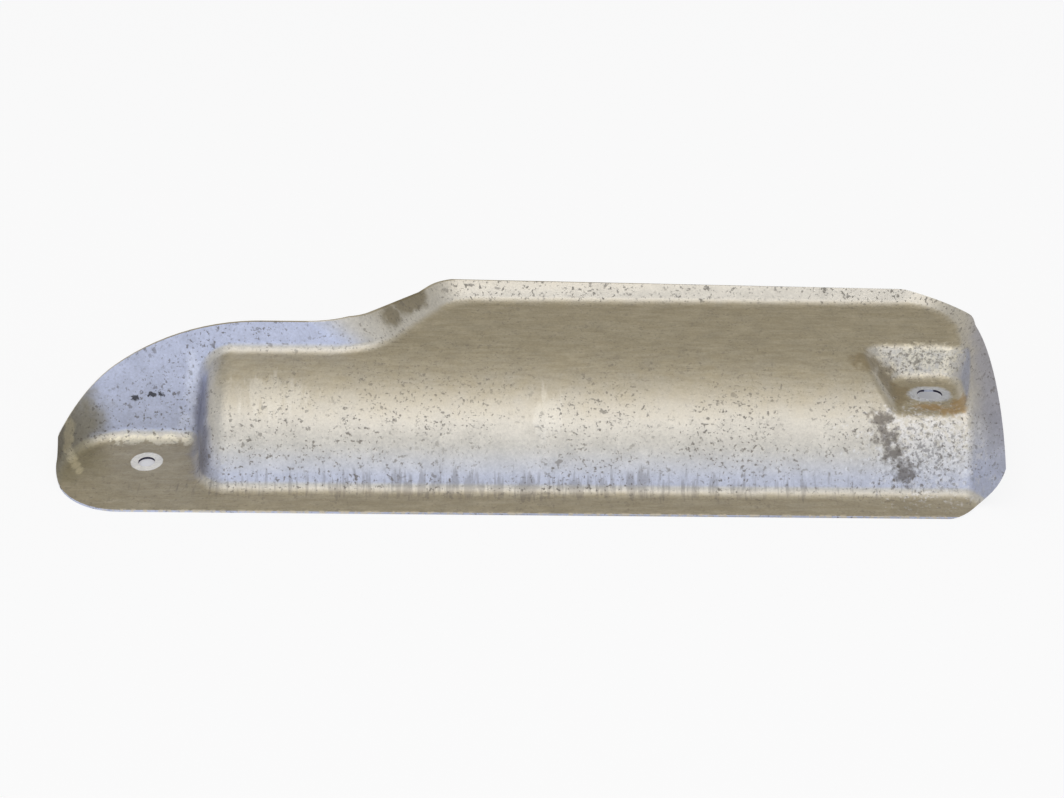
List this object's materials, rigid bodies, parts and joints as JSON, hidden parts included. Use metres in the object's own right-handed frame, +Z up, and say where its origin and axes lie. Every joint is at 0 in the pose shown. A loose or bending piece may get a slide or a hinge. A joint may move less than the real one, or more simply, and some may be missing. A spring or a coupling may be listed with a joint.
{
  "type": "steering rack heat shield",
  "caption": "Long pressed sheet steel heat shield with a rounded crown over the steering rack, a flat foot with a fixing hole, a curled rim and a sunk slotted pad.",
  "frame": {"origin": "centre of the fixing hole in the seat plane, the underside of the flat foot", "axes": "+Z up along the fixing bolt, towards its head; +X along the shield towards the slotted end; +Y from the front edge towards the back rim"},
  "size_m": [0.3878, 0.1064, 0.0528],
  "materials": {
    "aluminised_steel": "satin aluminised steel, finely pitted"
  },
  "bodies": {
    "root": {"heat_shield": "aluminised_steel"}
  },
  "joints": []
}
